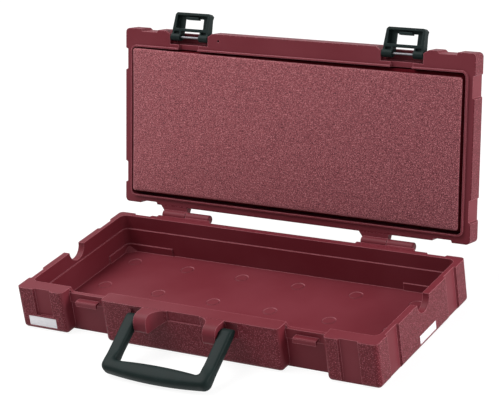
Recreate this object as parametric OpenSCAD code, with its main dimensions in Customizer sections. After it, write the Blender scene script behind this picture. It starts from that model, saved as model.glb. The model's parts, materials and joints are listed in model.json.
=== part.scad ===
// Shallow blow-moulded tool case with a padded lid, two snap latches and a swinging handle.
// Millimetres, Z up. X runs along the front, Y to the back; the origin is under the middle of the tray.
// The lid and everything on it are described in the closed position, then swung open about the hinge.

/* [Case] */
// Length of the case along the front
case_w = 400; // [360:5:480]
// Depth of the case, front face to rear face
case_d = 183; // [165:1:220]
// Height of the tray, ground to rim
tray_h = 44.5; // [42:0.5:70]
// Height of the closed lid above the rim
lid_h = 20; // [18:0.5:30]
// Opening angle of the lid at its stop
lid_open = 105; // [90:1:115]

/* [Walls] */
// Side wall, outer face to inner face
side_wall = 7; // [5.5:0.5:9]
// Rear wall, outer face to inner face
rear_wall = 6.5; // [5.5:0.5:9]
// Front wall, outer face to inner face, deep enough to hold the latch bays
front_wall = 16.5; // [15.5:0.5:20]
// Floor of the tray
floor_t = 4.5; // [3:0.5:6]
// Top panel of the lid
panel_t = 4; // [3:0.5:6]
// Radius of the outer edges and corners: upright, bottom and top
edge_r = 4.5; // [2:0.5:4.5]
// Radius of the inner upright corners
inner_r = 7; // [5:0.5:10]

/* [Corner relief] */
// Depth of the smooth sunk panels beside the corner blocks
relief_depth = 2.5; // [1.5:0.25:3.5]
// Width of the slope at each end of a sunk panel
relief_slope = 1.2; // [0.8:0.2:3]
// Length of a corner block along the front and the rear
block_x = 19; // [14:1:24]
// Length of a corner block along the sides
block_y = 20.5; // [14:0.5:26]
// Length of a sunk panel along the front and the rear
relief_x = 21; // [16:1:26]
// Length of a sunk panel along the sides
relief_y = 23; // [16:1:28]

/* [Tray inside] */
// Depth of the step in the tray wall below the rim
step_drop = 15; // [12:0.5:20]
// Width of the step in the tray wall
step_w = 1.2; // [0.8:0.2:3]
// Height of the low corner pads above the floor
pad_h = 8; // [5:0.5:12]
// Thickness of the low corner pads
pad_t = 1.2; // [0.8:0.2:2]
// Length of the corner pads along the rear wall
pad_x = 58; // [30:1:70]
// Length of the corner pads along the side walls
pad_y = 36; // [20:1:45]
// Reach of the corner web along the rear wall
web_x = 14; // [8:1:18]
// Reach of the corner web along the side wall
web_y = 9; // [6:1:12]
// Height of the corner web above the floor
web_z = 9; // [6:1:12]
// Radius of the half-round notch in each side rim
notch_r = 12.5; // [8:0.5:15]
// Diameter of the ring marks in the floor
ring_d = 14; // [10:0.5:18]
// Spacing of the ring marks along the case
ring_pitch_x = 65.5; // [50:0.5:70]
// Spacing of the ring marks across the case
ring_pitch_y = 55; // [40:0.5:58]

/* [Latch bays] */
// Middle of each latch bay, from the end of the case
bay_end = 78; // [70:1:90]
// Width of a latch bay
bay_w = 46; // [40:1:54]
// Depth of a latch bay into the front wall
bay_depth = 13.5; // [11:0.5:14.5]
// Drop of the rim behind each bay
sill_drop = 4.5; // [3:0.5:6]
// Set-back of the lid panel over each bay
roof_back = 3.5; // [3:0.5:6]
// Width of the catch hook
hook_w = 24; // [18:1:32]
// Reach of the catch hook from the bay wall
hook_reach = 8; // [6:0.5:8.5]
// Drop of the hook's top below the rim
hook_drop = 9.5; // [8:0.5:11]
// Height of the hook's lip
hook_h = 5; // [4:0.5:7]
// Thickness of the hook
hook_t = 1.8; // [1.2:0.2:2.4]

/* [Latches] */
// Gap between a latch and each side of its bay
latch_gap = 0.75; // [0.5:0.25:2]
// Length of a latch beyond its window
latch_tip = 5.5; // [5:0.5:8]
// Depth of a latch, outer face to inner edge
latch_depth = 8; // [7:0.5:9]
// Thickness of a latch's walls
latch_wall = 2.6; // [2:0.1:3.2]
// Width of the window in a latch
window_w = 23; // [18:1:27]
// Distance from the pin to the near edge of the window
window_near = 9; // [8.5:0.5:10]
// Radius of a latch foot round its pin
foot_r = 4; // [3.5:0.25:4.5]
// Height of the latch pin above the rim plane
latch_pin_up = 3.4; // [3:0.1:5]
// Diameter of a latch pin
latch_pin_d = 2.5; // [2:0.1:3]
// Length of a latch pin held in each cheek of the lid
latch_pin_grip = 4; // [2:0.5:6]
// Opening angle of a latch at its stop
latch_open = 102; // [90:1:110]

/* [Handle] */
// Middle of the handle, a little left of the middle of the case
handle_x = -4; // [-10:1:10]
// Distance between the outer faces of the two ears
ear_span = 91; // [80:1:110]
// Width of an ear at its nose
ear_w = 14; // [11:0.5:18]
// Radius of an ear round the handle pivot
ear_r = 9; // [8:0.5:11]
// Radius of the flare from each ear into the front wall
flare_r = 13; // [6:1:15]
// Height of the set-back strip between the ears
strip_h = 10; // [6:0.5:14]
// Width of a handle arm along the pivot
arm_w = 13; // [8:0.5:15]
// Thickness of a handle arm
arm_t = 9.5; // [8:0.5:11]
// Length of the handle from its pivot to the outer face of the grip at its middle
handle_reach = 63; // [50:0.5:68]
// Width of the grip at its ends
grip_w = 12; // [10:0.5:14]
// Thickness of the grip
grip_t = 13.5; // [10:0.5:15]
// Outward bow of the grip at its middle
grip_bow = 4; // [1:0.5:5]
// Swell of the grip towards the pivot at its middle
grip_swell = 2; // [0.5:0.5:3]
// Gap between the resting handle and the surface the case stands on
handle_rest_gap = 0.4; // [0.2:0.1:10]
// Diameter of the pegs on which the handle turns
peg_d = 7; // [5:0.5:8]
// Length of the pegs
peg_l = 7; // [4:0.5:9]
// Gap between a handle arm and its ear
arm_gap = 0.6; // [0.4:0.1:1.2]

/* [Hinges] */
// Middle of each hinge, from the end of the case, before both are shifted
hinge_in = 82.5; // [78:0.5:95]
// Shift of both hinges along the case, so that the lid slides on from one side
hinge_shift = -4.5; // [-8:0.5:0]
// Length of one hinge knuckle
knuckle_l = 28.5; // [20:0.5:32]
// Radius of a hinge knuckle
knuckle_r = 4.5; // [4:0.25:5]
// Distance of the hinge pin behind the rear face
hinge_back = 8.8; // [8:0.1:11]
// Gap between neighbouring knuckles
knuckle_gap = 0.8; // [0.4:0.1:1.5]
// Closed outer end of each knuckle
hinge_end = 3; // [2:0.5:5]
// Diameter of a hinge pin
hinge_pin_d = 3; // [2.5:0.1:3.5]

/* [Foam] */
// Thickness of the foam pad
foam_t = 20.5; // [16:0.5:24]
// Gap from the lip to the pad at each side and at the front
foam_gap = 2.4; // [1:0.1:4]
// Gap from the lip to the pad at the hinge edge
foam_gap_rear = 3.4; // [1:0.1:6]
// Crown of the pad at its middle
foam_crown = 0.8; // [0.2:0.2:2]

/* [Fits] */
// Radial clearance of a pin or peg in its bore
pin_clearance = 0.06; // [0.02:0.01:0.1]
// Gap between the lip of the lid and the tray wall
lip_gap = 0.6; // [0.4:0.1:1.2]
// Thickness of the lip round the foam
lip_t = 1.6; // [1:0.2:2.4]
// Height of the lip beyond the rim plane
lip_h = 2; // [1:0.25:3]
// Hairline gap between the two rims when the case is shut
rim_gap = 0.1; // [0.05:0.05:0.5]

/* [Hidden] */
$fn = 64;
over = 1;
half_w = case_w/2;
front_y = -case_d/2;
rear_y = case_d/2;
// Inside of the tray above its step
in_half_x = half_w - side_wall;
bay_x = half_w - bay_end;
hinge_x = half_w - hinge_in;
in_front = front_y + front_wall;
in_rear = rear_y - rear_wall;
in_mid_y = (in_front + in_rear)/2;
in_d = in_rear - in_front;
step_z = tray_h - step_drop;
notch_y = 1;
ring_rows = 3;
ring_columns = 6;
ring_line = 0.8;
ring_cut = 0.4;
field_cut = 0.8;
field_inset = 22;
// Labels sit in shallow frames; the sunk panel over the front one stops above it
label_cut = 0.5;
front_label = [25.5 - half_w, 33.5, 10.5];
side_label = [5, 33.5, 9];
label_z = 4;
label_stop = 16;
// Latch bays and catch hooks
bay_wall_y = front_y + bay_depth;
roof_t = 6;
roof_slope = 7;
band_t = 1.2;
pocket_h = 3;
vent_d = 2.4;
vent_depth = 4;
vent_x = 35.5 - bay_x;
vent_y = front_y + 7;
hook_top = tray_h - hook_drop;
hook_edge = 1;
hook_draft = 0.6;
// Latches: the far edge of the window carries a nub that passes just under the hook's lip
latch_pin_y = front_y + 6;
latch_pin_z = tray_h + latch_pin_up;
latch_w = bay_w - 2*latch_gap;
latch_taper = 1.4;
latch_toe = 1.6;
latch_end_r = 2;
latch_shoulder = 1.2;
foot_hollow = [5, 3];
nub_w = 14;
nub_h = 1.6;
nub_gap = 0.5;
nub_hold = 1.4;
window_far = latch_pin_z - hook_top + hook_h + nub_gap + nub_h;
latch_reach = window_far + latch_tip;
latch_pin_l = bay_w + 2*latch_pin_grip;
// Handle pivot: the top of each ear is level with the rim
pivot_y = front_y - ear_r;
pivot_z = tray_h - ear_r;
pocket_r = 11.6;
strip_cut = 1.2;
arm_in = ear_span/2 + arm_gap;
arm_out = arm_in + arm_w;
arm_end_r = arm_t/2 + 1;
// The resting handle droops until its grip meets the surface
handle_fall = (pivot_z - grip_t/2 - handle_rest_gap)/(handle_reach - grip_t/2);
handle_droop = asin(min(handle_fall, 0.95));
handle_r = 6.5;
handle_in_r = 3.5;
grip_blend = 9;
// Rounds of the grip: the outer face and the swelling inner face, both seen from above
grip_in = handle_reach - grip_bow - grip_w;
bow_r = (arm_out*arm_out + grip_bow*grip_bow)/(2*grip_bow);
bow_end = arm_out - handle_r;
bow_sag = bow_r - sqrt(bow_r*bow_r - bow_end*bow_end);
swell_end = arm_in - handle_in_r - 1;
swell_r = (swell_end*swell_end + grip_swell*grip_swell)/(2*grip_swell);
// Hinges
hinge_y = rear_y + hinge_back;
hinge_below = 0.7;
hinge_z = tray_h - hinge_below;
cradle_gap = 0.8;
cradle_y = hinge_y - knuckle_r - cradle_gap;
hinge_block_h = 12;
hinge_block_over = 3;
hinge_flare = 5;
hinge_round = 1.5;
ear_foot_r = 4;
hinge_web_h = 7;
hinge_web_slope = 2;
hinge_pin_l = 2*(knuckle_l - hinge_end) + knuckle_gap;
hinge_pin_slack = 0.3;
// Lip of the lid and the foam inside it
lip_x = in_half_x - lip_gap;
lip_front = in_front + lip_gap;
lip_rear = in_rear - lip_gap;
lid_in_x = lip_x - lip_t;
lid_in_front = lip_front + lip_t;
lid_in_rear = lip_rear - lip_t;
foam_seat = 0.3;
foam_edge = 2;
foam_x = lid_in_x - foam_gap;
foam_front = lid_in_front + foam_gap;
foam_rear = lid_in_rear - foam_gap_rear;
foam_r = 2.5;
lid_floor = tray_h + lid_h - panel_t;
maroon = [0.44, 0.17, 0.21];
foam_red = [0.62, 0.36, 0.39];
dark_green = [0.16, 0.20, 0.19];
steel = [0.76, 0.77, 0.79];

// Rectangle about the origin with round corners
module round_rect(w, d, r) {
    square([w - 2*r, d], center = true);
    square([w, d - 2*r], center = true);
    for (sx = [-1, 1], sy = [-1, 1])
        translate([sx*(w/2 - r), sy*(d/2 - r)]) circle(r);
}

// Upright rectangle from z = 0 with its two bottom corners round
module round_foot(l, h, r) {
    translate([-l/2, r]) square([l, h - r]);
    translate([-l/2 + r, 0]) square([l - 2*r, h]);
    for (s = [-1, 1]) translate([s*(l/2 - r), r]) circle(r);
}

// What a block's corner loses where three edges of radius r meet in a ball
module ball_loss(r) {
    difference() {
        translate([-over, -over, -over]) cube(r + over);
        translate([r, r, r]) sphere(r);
    }
}

// What a convex edge of radius r loses: a square corner at the origin less its round
module corner_loss(r) {
    difference() {
        translate([-over, -over]) square(r + over);
        translate([r, r]) circle(r);
    }
}

// Extrudes a profile drawn in (Y, Z) along X, between two X values
module along_x(x0, x1) {
    translate([x0, 0, 0]) rotate([90, 0, 90]) linear_extrude(x1 - x0) children();
}

// Extrudes a profile drawn in (X, Z) along Y, between two Y values
module along_y(y0, y1) {
    translate([0, y1, 0]) rotate([90, 0, 0]) linear_extrude(y1 - y0) children();
}

// Copies something to the middle of each bay
module at_bays() {
    for (s = [-1, 1]) translate([s*bay_x, 0, 0]) children();
}

// Copies something to the middle of each hinge
module at_hinges() {
    for (s = [-1, 1]) translate([hinge_shift + s*hinge_x, 0, 0]) children();
}

// Outer block of one half of the case, round at its upright corners and its bottom edges
module blank(h) {
    difference() {
        intersection() {
            linear_extrude(h) round_rect(case_w, case_d, edge_r);
            along_y(-case_d, case_d) round_foot(case_w, h, edge_r);
            along_x(-case_w, case_w) round_foot(case_d, h, edge_r);
        }
        for (sx = [-1, 1], sy = [-1, 1]) translate([sx*half_w, sy*rear_y, 0])
            mirror([sx > 0 ? 1 : 0, 0, 0]) mirror([0, sy > 0 ? 1 : 0, 0]) ball_loss(edge_r);
    }
}

// Plan of one sunk panel: a shallow trapezium on the edge y = 0, starting at x = 0
module relief_plan(l) {
    polygon([[0, -over], [0, 0], [relief_slope, relief_depth],
        [l - relief_slope, relief_depth], [l, 0], [l, -over]]);
}

// The eight sunk panels beside the corner blocks, from z0 up
module reliefs(z0, z1, front_left_from) {
    for (sx = [-1, 1], sy = [-1, 1]) {
        from = (sx < 0 && sy < 0) ? front_left_from : z0;
        translate([sx*(half_w - block_x), sy*rear_y, from]) linear_extrude(z1 - from)
            mirror([sx > 0 ? 1 : 0, 0]) mirror([0, sy > 0 ? 1 : 0]) relief_plan(relief_x);
        translate([sx*half_w, sy*(rear_y - block_y), z0]) linear_extrude(z1 - z0)
            mirror([sx > 0 ? 1 : 0, 0]) mirror([0, sy > 0 ? 1 : 0]) rotate([0, 0, 90])
            mirror([0, 1]) relief_plan(relief_y);
    }
}

// Round edges at the mouth of one bay: upright ones, and the lower ones at z = 0
module bay_edges(h) {
    for (s = [-1, 1]) translate([s*bay_w/2, 0, 0]) mirror([s < 0 ? 1 : 0, 0, 0]) {
        translate([0, front_y, -over]) linear_extrude(h + 2*over) corner_loss(edge_r);
        along_y(front_y - over, bay_wall_y) corner_loss(edge_r);
        translate([0, front_y, 0]) ball_loss(edge_r);
    }
}

// Catch hook on the wall of a bay, hollow underneath
module catch_hook() {
    translate([0, bay_wall_y, hook_top]) along_x(-hook_w/2, hook_w/2)
        polygon([[over/2, 0], [hook_edge - hook_reach, 0], [-hook_reach, -hook_edge],
            [-hook_reach, -hook_h], [hook_t - hook_reach, -hook_h],
            [hook_t - hook_reach, -hook_t - hook_draft], [-band_t, -hook_t], [over/2, -hook_t]]);
}

// Cuts the bay into the tray front and lowers the rim behind it
module tray_bay() {
    translate([-bay_w/2, front_y - over, -over]) cube([bay_w, bay_depth + over, tray_h + 2*over]);
    bay_edges(tray_h);
    along_y(bay_wall_y - over, in_front + over) translate([0, tray_h - sill_drop])
        round_foot(bay_w, sill_drop + over, sill_drop);
}

// Raised band on the bay wall that carries the hook
module bay_band() {
    translate([-bay_w/2 - over/2, bay_wall_y - band_t, hook_top - hook_h])
        cube([bay_w + over, band_t + over/2, hook_h + hook_drop - sill_drop]);
}

// One ear for the handle, outer face at x = 0, nose towards -Y, flaring on its +X side
module ear() {
    root = strip_cut + over;
    foot_z = pivot_z - ear_r;
    difference() {
        intersection() {
            linear_extrude(tray_h) union() {
                translate([0, front_y - 2*ear_r]) square([ear_w, 2*ear_r + root]);
                difference() {
                    translate([ear_w - over, front_y - flare_r])
                        square([flare_r + over, flare_r + root]);
                    translate([ear_w + flare_r, front_y - flare_r]) circle(flare_r);
                }
            }
            along_x(-over, ear_w + flare_r + over) union() {
                translate([pivot_y, pivot_z]) circle(ear_r);
                translate([pivot_y, foot_z]) square([front_y + root - pivot_y, 2*ear_r]);
                translate([pivot_y - ear_r, foot_z + ear_foot_r])
                    square([ear_r, ear_r - ear_foot_r]);
                translate([pivot_y - ear_r + ear_foot_r, foot_z])
                    square([ear_r - ear_foot_r, ear_foot_r]);
                translate([pivot_y - ear_r + ear_foot_r, foot_z + ear_foot_r])
                    circle(ear_foot_r);
            }
        }
        translate([-over, pivot_y, pivot_z]) rotate([0, 90, 0])
            cylinder(d = peg_d + 2*pin_clearance, h = peg_l + 2*over);
        // The foot of the flare rises to the foot of the strip
        translate([0, front_y + root + over, 0]) rotate([90, 0, 0])
            linear_extrude(flare_r + root + 2*over) polygon([[ear_w, foot_z - over], [ear_w, foot_z],
                [ear_w + flare_r, tray_h - strip_h], [ear_w + 2*flare_r, foot_z - over]]);
    }
}

// Round pocket in the front wall behind the top of one handle arm
module arm_pocket() {
    translate([0, pivot_y, pivot_z]) rotate([0, 90, 0]) cylinder(r = pocket_r, h = arm_w + 3*arm_gap);
}

// Barrel of one hinge knuckle from x = 0, round at its far end, with an arm that flares there
module knuckle(arm, root_y, arm_z, arm_h, flare) {
    translate([0, hinge_y, hinge_z]) rotate([0, 90, 0]) {
        cylinder(r = knuckle_r, h = knuckle_l - hinge_round);
        cylinder(r = knuckle_r - hinge_round, h = knuckle_l);
        translate([0, 0, knuckle_l - hinge_round]) rotate_extrude()
            translate([knuckle_r - hinge_round, 0]) circle(hinge_round);
    }
    along_x(0, knuckle_l - hinge_round) polygon(arm);
    translate([knuckle_l - hinge_round - over, 0, arm_z]) linear_extrude(arm_h)
        polygon([[0, root_y], [over + hinge_round + flare, root_y],
            [over + hinge_round/2, hinge_y - knuckle_r/2], [0, hinge_y]]);
}

// Blind bore for half of a hinge pin, towards +X (side 1) or -X (side -1)
module hinge_bore(side) {
    l = hinge_pin_l/2 + hinge_pin_slack + over;
    translate([side > 0 ? -over : over - l, hinge_y, hinge_z]) rotate([0, 90, 0])
        cylinder(d = hinge_pin_d + 2*pin_clearance, h = l);
}

// Block on the rear wall under both knuckles, with the tray's own knuckle on the right
module tray_hinge() {
    half = knuckle_l + knuckle_gap/2 + hinge_block_over;
    along_x(-half, half) polygon([[rear_y - over, tray_h], [cradle_y, tray_h],
        [cradle_y, tray_h - hinge_block_h + (cradle_y - rear_y)],
        [rear_y - over, tray_h - hinge_block_h - over]]);
    translate([knuckle_gap/2, 0, 0]) knuckle([[cradle_y - over, tray_h],
        [hinge_y, tray_h], [hinge_y, hinge_z - knuckle_r],
        [cradle_y - over, hinge_z - knuckle_r - over]],
        cradle_y - over, tray_h - knuckle_r, knuckle_r, hinge_block_over);
}

// Lid knuckle on the left of a hinge, with its web up to the lid's rear wall
module lid_hinge() {
    web_top = tray_h + hinge_web_h;
    seam = tray_h + rim_gap;
    mirror([1, 0, 0]) translate([knuckle_gap/2, 0, 0]) knuckle([[rear_y - over, seam],
        [hinge_y, seam], [hinge_y + knuckle_r*sin(30), hinge_z + knuckle_r*cos(30)],
        [rear_y + hinge_block_over, web_top], [rear_y - over, web_top + hinge_web_slope]],
        rear_y - over, seam, hinge_web_h/2, hinge_flare);
}

// Ring marks where the two skins of the moulding are pinched together
module rings(z) {
    for (i = [0 : ring_columns - 1], j = [0 : ring_rows - 1])
        translate([handle_x + (i - (ring_columns - 1)/2)*ring_pitch_x,
            in_mid_y + (j - (ring_rows - 1)/2)*ring_pitch_y, z]) children();
}

// Web that slopes across one rear corner of the well, from the corner along +X, -Y and +Z
module corner_web() {
    slope = [1/web_x, 1/web_y, 1/web_z];
    difference() {
        translate([-over, -web_y, -over]) cube([web_x + over, web_y + over, web_z + over]);
        translate([web_x, 0, 0]) rotate([0, acos(slope[2]/norm(slope)), -atan2(slope[1], slope[0])])
            translate([-2*web_x, -2*web_x, 0]) cube(4*web_x);
    }
}

module tray_shell() {
    color(maroon) difference() {
        union() {
            difference() {
                blank(tray_h);
                reliefs(-over, tray_h + over, label_stop);
                at_bays() tray_bay();
                // Room above the step, then the well below it
                translate([0, in_mid_y, step_z]) linear_extrude(tray_h)
                    round_rect(2*in_half_x, in_d, inner_r);
                translate([0, in_mid_y, floor_t]) linear_extrude(tray_h)
                    round_rect(2*(in_half_x - step_w), in_d - 2*step_w, inner_r - step_w);
                // Half-round notches in the two side rims
                translate([-half_w - over, notch_y, tray_h]) rotate([0, 90, 0])
                    cylinder(r = notch_r, h = case_w + 2*over);
                rings(floor_t - ring_cut) difference() {
                    cylinder(d = ring_d, h = over);
                    translate([0, 0, -over]) cylinder(d = ring_d - 2*ring_line, h = 3*over);
                }
                rings(-over) cylinder(d1 = ring_d + 2, d2 = ring_d/2, h = over + floor_t/2);
                translate([front_label[0], front_y, label_z + front_label[2]/2])
                    cube([front_label[1], 2*label_cut, front_label[2]], center = true);
                translate([half_w, side_label[0], label_z + side_label[2]/2])
                    cube([2*label_cut, side_label[1], side_label[2]], center = true);
                for (s = [-1, 1]) translate([s > 0 ? handle_x + ear_span/2 - arm_gap
                    : handle_x - ear_span/2 + arm_gap - arm_w - 3*arm_gap, 0, 0]) arm_pocket();
                // Set-back strip between the ears
                translate([handle_x - ear_span/2 + ear_w, front_y - over, tray_h - strip_h])
                    cube([ear_span - 2*ear_w, over + strip_cut, strip_h + over]);
            }
            at_bays() bay_band();
            at_bays() catch_hook();
            at_hinges() tray_hinge();
            for (s = [-1, 1])
                translate([handle_x + s*ear_span/2, 0, 0]) mirror([s > 0 ? 1 : 0, 0, 0]) ear();
            for (s = [-1, 1]) translate([s*(in_half_x - step_w), in_rear - step_w, floor_t])
                mirror([s > 0 ? 1 : 0, 0, 0]) corner_web();
            // Low pads in the two rear corners of the well
            intersection() {
                translate([0, in_mid_y, floor_t - over]) linear_extrude(pad_h + over)
                    round_rect(2*in_half_x, in_d, inner_r);
                difference() {
                    for (s = [-1, 1]) translate([s*in_half_x, in_rear - pad_y, 0])
                        mirror([s > 0 ? 1 : 0, 0, 0]) cube([pad_x, pad_y, tray_h]);
                    translate([0, in_mid_y, -over]) linear_extrude(tray_h)
                        round_rect(2*(in_half_x - step_w - pad_t), in_d - 2*(step_w + pad_t),
                            inner_r - step_w - pad_t);
                }
            }
        }
        at_hinges() hinge_bore(1);
    }
}

// Cuts one latch bay into the lid; the panel over it stands back, with a slope at each end
module lid_bay() {
    translate([-bay_w/2, front_y - over, tray_h - over])
        cube([bay_w, bay_depth + over, lid_h - roof_t + over]);
    translate([0, front_y, tray_h - over]) linear_extrude(lid_h + 2*over)
        polygon([[-bay_w/2 - roof_slope, -over], [-bay_w/2, roof_back],
            [bay_w/2, roof_back], [bay_w/2 + roof_slope, -over]]);
}

// The lid as it lies on the tray
module lid_closed() {
    top = tray_h + lid_h;
    difference() {
        union() {
            difference() {
                translate([0, 0, top]) mirror([0, 0, 1]) blank(lid_h - rim_gap);
                reliefs(tray_h - over, top + over, tray_h - over);
                at_bays() lid_bay();
                translate([0, in_mid_y, tray_h - over]) linear_extrude(lid_floor - tray_h + over)
                    round_rect(2*lip_x, lip_rear - lip_front, inner_r - lip_gap);
                translate([vent_x, vent_y, tray_h - over]) cylinder(d = vent_d, h = vent_depth + over);
                translate([0, 0, top - field_cut]) linear_extrude(field_cut + over)
                    round_rect(case_w - 2*field_inset, case_d - 2*field_inset, inner_r);
            }
            // Lip that drops inside the tray wall
            translate([0, in_mid_y, tray_h - lip_h]) linear_extrude(lid_floor - tray_h + lip_h)
                round_rect(2*lip_x, lip_rear - lip_front, inner_r - lip_gap);
            at_hinges() lid_hinge();
        }
        translate([0, (lid_in_front + lid_in_rear)/2, tray_h - lip_h - over])
            linear_extrude(lid_floor - tray_h + lip_h + over)
            round_rect(2*lid_in_x, lid_in_rear - lid_in_front, inner_r - lip_gap - lip_t);
        // Gap in the rim and the lip over each catch hook
        at_bays() translate([-hook_w/2, bay_wall_y - over, tray_h - lip_h - over])
            cube([hook_w, lid_in_front - bay_wall_y + 2*over, lip_h + pocket_h + over]);
        at_hinges() hinge_bore(-1);
        at_bays() translate([-latch_pin_l/2, latch_pin_y, latch_pin_z]) rotate([0, 90, 0])
            cylinder(d = latch_pin_d + 2*pin_clearance, h = latch_pin_l);
    }
}

// Swings the closed lid, or something on it, open about the hinge
module swung_open() {
    translate([0, hinge_y, hinge_z]) rotate([-lid_open, 0, 0])
        translate([0, -hinge_y, -hinge_z]) children();
}

module lid_shell() {
    color(maroon) swung_open() lid_closed();
}

// Pad with a slight crown, round at its upright corners and along the edges of its face
module lid_foam() {
    face_z = lid_floor - foam_seat - foam_t;
    rim_z = face_z + foam_crown;
    d = foam_rear - foam_front;
    color(foam_red) swung_open() translate([0, (foam_front + foam_rear)/2, 0]) hull() {
        translate([0, 0, rim_z + foam_edge]) linear_extrude(foam_t - foam_edge - foam_crown)
            round_rect(2*foam_x, d, foam_r, $fn = 32);
        translate([0, 0, rim_z + foam_edge/3]) linear_extrude(0.1)
            round_rect(2*foam_x - foam_edge, d - foam_edge, foam_r - foam_edge/2, $fn = 32);
        translate([0, 0, rim_z]) linear_extrude(0.1)
            round_rect(2*foam_x - 2*foam_edge, d - 2*foam_edge, foam_r - foam_edge, $fn = 32);
        translate([0, 0, face_z]) linear_extrude(0.1)
            round_rect(1.4*foam_x, 0.6*d, foam_r, $fn = 32);
    }
}

// Side view of a latch: a foot round the pin, a flat outer face and a finger lip at the end
module latch_side(outer, inner) {
    circle(foot_r);
    polygon([[latch_shoulder - outer, foot_r/2], [-outer, 0], [-outer, 3*latch_end_r - latch_reach],
        [-outer - latch_toe, latch_end_r - latch_reach], [latch_toe/2 - outer - latch_toe, -latch_reach],
        [inner - 1.5, -latch_reach], [inner - 1, 2*latch_end_r - latch_reach], [inner, -window_near],
        [inner, 0], [0, foot_r]]);
}

// Front view of a latch: a slight taper and cut corners at its free end
module latch_front() {
    top_x = latch_w/2;
    end_x = top_x - latch_taper;
    polygon([[-top_x, foot_r + over], [top_x, foot_r + over], [end_x, latch_end_r - latch_reach],
        [end_x - latch_end_r, -latch_reach], [latch_end_r - end_x, -latch_reach],
        [-end_x, latch_end_r - latch_reach]]);
}

// One latch hanging from its pin: outer face to -Y, free end to -Z, pin along X through the origin
module latch_hanging() {
    outer = latch_pin_y - front_y;
    inner = latch_depth - outer;
    hollow_x = latch_w/2 - latch_wall - latch_taper;
    foot_w = (latch_w - window_w)/2;
    nub_reach = bay_wall_y - hook_reach + nub_hold - latch_pin_y;
    difference() {
        intersection() {
            along_x(-latch_w/2, latch_w/2) latch_side(outer, inner);
            along_y(-2*latch_depth, 2*latch_depth) latch_front();
        }
        // Hollow inner side between the edge walls, the crossbar and the end bar
        translate([-hollow_x, latch_wall - outer, latch_wall - latch_reach])
            cube([2*hollow_x, latch_depth, latch_reach - latch_wall - window_near]);
        translate([-window_w/2, -2*outer, -window_far])
            cube([window_w, 2*latch_depth, window_far - window_near]);
        // Space between the feet, where the pin shows
        translate([-window_w/2, -2*outer, latch_wall - window_near])
            cube([window_w, 2*latch_depth + outer, window_near + foot_r + over]);
        // Hollow in the back of each foot block
        for (s = [-1, 1]) translate([s*(window_w + foot_w - 1)/2, inner, latch_wall - window_near + 1.6])
            cube([foot_w - 2*latch_wall + 1, foot_hollow[0], foot_hollow[1]], center = true);
        translate([-latch_w, 0, 0]) rotate([0, 90, 0])
            cylinder(d = latch_pin_d + 2*pin_clearance, h = 2*latch_w);
    }
    // Snap nub on the far edge of the window
    translate([-nub_w/2, latch_wall - outer - over, -window_far - over])
        cube([nub_w, nub_reach - latch_wall + outer + over, nub_h + over]);
}

module latch_at(s) {
    swung_open() translate([s*bay_x, latch_pin_y, latch_pin_z]) rotate([-latch_open, 0, 0])
        latch_hanging();
}

module latch_left() { color(dark_green) latch_at(-1); }
module latch_right() { color(dark_green) latch_at(1); }

module latch_pin_at(s) {
    l = latch_pin_l - 0.4;
    color(steel) swung_open() translate([s*bay_x - l/2, latch_pin_y, latch_pin_z])
        rotate([0, 90, 0]) cylinder(d = latch_pin_d, h = l);
}

module latch_pin_left() { latch_pin_at(-1); }
module latch_pin_right() { latch_pin_at(1); }

// Outline of the handle from above, pivot line at y = 0 and grip towards -Y
module handle_outline() {
    low_y = bow_sag - handle_reach;
    intersection() {
        union() {
            for (s = [-1, 1]) translate([s*bow_end, low_y + handle_r]) circle(handle_r);
            translate([-arm_out, low_y + handle_r]) square([2*arm_out, handle_reach]);
            translate([-bow_end - over, -handle_reach - over]) square([2*(bow_end + over), handle_reach]);
        }
        translate([0, bow_r - handle_reach]) circle(bow_r, $fn = 180);
    }
}

// Opening between the arms, with the swell of the grip at its edge
module handle_opening() {
    difference() {
        union() {
            translate([-arm_in, handle_in_r - grip_in]) square([2*arm_in, 2*handle_reach]);
            translate([handle_in_r - arm_in, -grip_in]) square([2*(arm_in - handle_in_r), handle_reach]);
            for (s = [-1, 1])
                translate([s*(arm_in - handle_in_r), handle_in_r - grip_in]) circle(handle_in_r);
        }
        translate([0, grip_swell - grip_in - swell_r]) circle(swell_r, $fn = 180);
    }
}

// Side view of the handle: round arm ends, a thicker grip and a slope between them
module handle_side() {
    nose_y = grip_t/2 - handle_reach;
    circle(arm_end_r);
    translate([nose_y, 0]) circle(grip_t/2);
    polygon([[nose_y, -grip_t/2], [-grip_in, -grip_t/2], [grip_blend - grip_in, -arm_t/2],
        [0, -arm_t/2], [0, arm_t/2], [grip_blend - grip_in, arm_t/2], [-grip_in, grip_t/2],
        [nose_y, grip_t/2]]);
}

module handle() {
    color(dark_green) translate([handle_x, pivot_y, pivot_z]) rotate([handle_droop, 0, 0]) {
        intersection() {
            translate([0, 0, -grip_t]) linear_extrude(2*grip_t) difference() {
                handle_outline();
                handle_opening();
            }
            along_x(-arm_out - over, arm_out + over) handle_side();
        }
        for (s = [-1, 1]) translate([s*(ear_span/2 - peg_l), 0, 0]) rotate([0, s*90, 0])
            cylinder(d = peg_d, h = peg_l + arm_gap + over);
    }
}

module hinge_pin_at(s) {
    color(steel) translate([hinge_shift + s*hinge_x - hinge_pin_l/2, hinge_y, hinge_z])
        rotate([0, 90, 0]) cylinder(d = hinge_pin_d, h = hinge_pin_l);
}

module hinge_pin_left() { hinge_pin_at(-1); }
module hinge_pin_right() { hinge_pin_at(1); }

tray_shell();
lid_shell();
lid_foam();
latch_left();
latch_right();
latch_pin_left();
latch_pin_right();
handle();
hinge_pin_left();
hinge_pin_right();
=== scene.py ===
"""Open tool case: finishes, soft pad, handle and labels, dressed round the fixed frame.

The frame gives every size that the solids already have. A class stands for each sub-assembly and
builds its own pieces. Lengths are in metres and angles in degrees unless a name says otherwise.
"""

import json
import logging
import math
from dataclasses import dataclass, field
from enum import Enum
from typing import Sequence

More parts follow.
